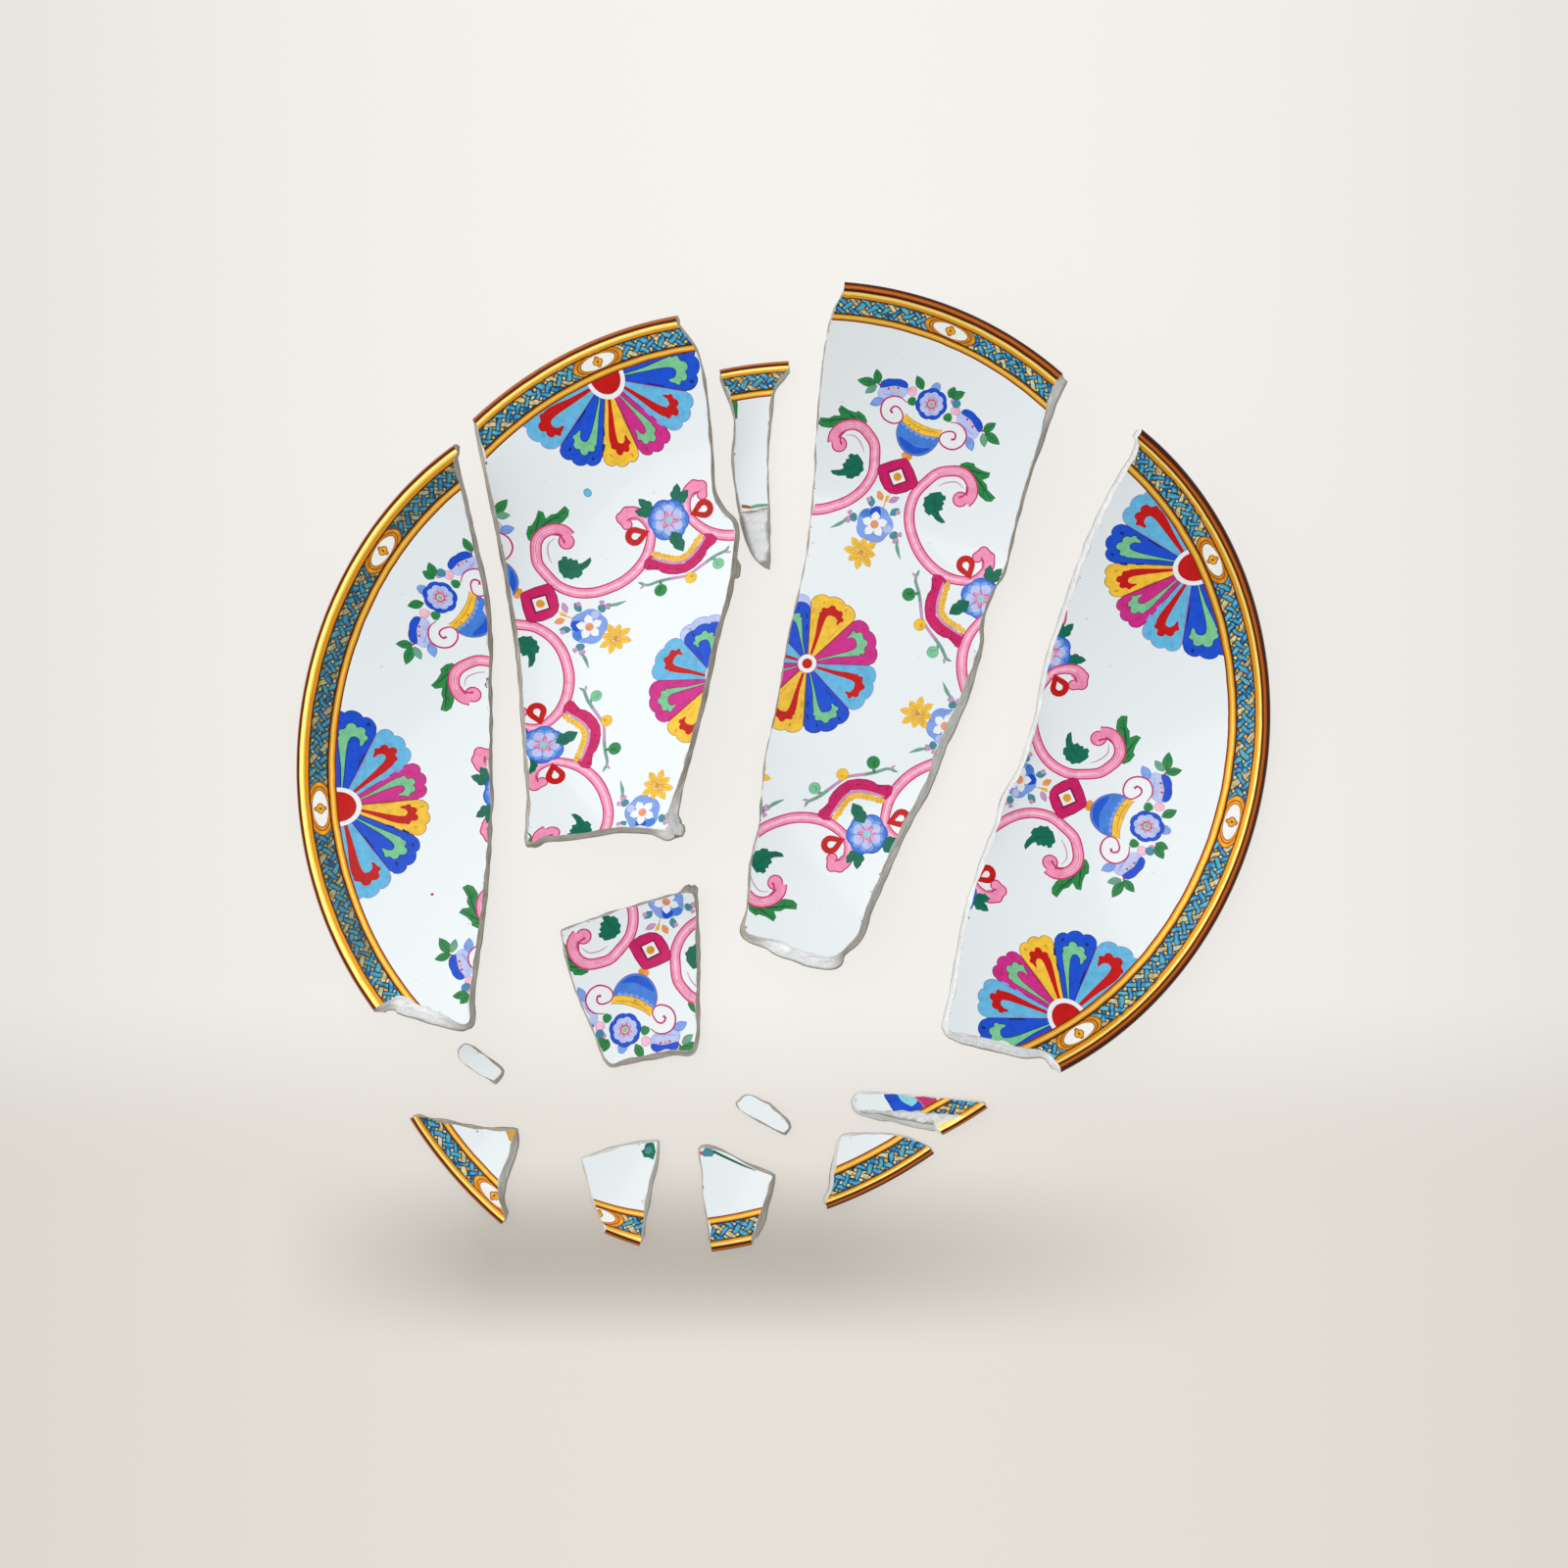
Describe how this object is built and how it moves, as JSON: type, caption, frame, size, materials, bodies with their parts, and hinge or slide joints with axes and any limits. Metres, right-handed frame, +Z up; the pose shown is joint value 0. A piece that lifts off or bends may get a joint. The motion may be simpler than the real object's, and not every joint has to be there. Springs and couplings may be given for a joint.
{
  "type": "broken plate",
  "caption": "Deep round glazed plate with a gilt lip and patterned border, broken into loose curved shards and small chips, each lying flat as it came to rest.",
  "frame": {"origin": "middle of the whole spread of pieces, at the floor they lie on", "axes": "+Z up from the floor; +X to the right and +Y to the top of the layout as it is seen from above"},
  "size_m": [0.3148, 0.3126, 0.0425],
  "materials": {
    "porcelain": "clear glaze over white porcelain, with a painted and gilt border"
  },
  "bodies": {
    "root": {"left_rim_shard": "porcelain", "upper_left_shard": "porcelain", "sliver_shard": "porcelain", "centre_shard": "porcelain", "right_rim_shard": "porcelain", "lower_body_shard": "porcelain", "rim_shard_a": "porcelain", "rim_shard_b": "porcelain", "rim_shard_c": "porcelain", "rim_shard_d": "porcelain", "rim_shard_e": "porcelain", "chip_a": "porcelain", "chip_b": "porcelain"}
  },
  "joints": []
}
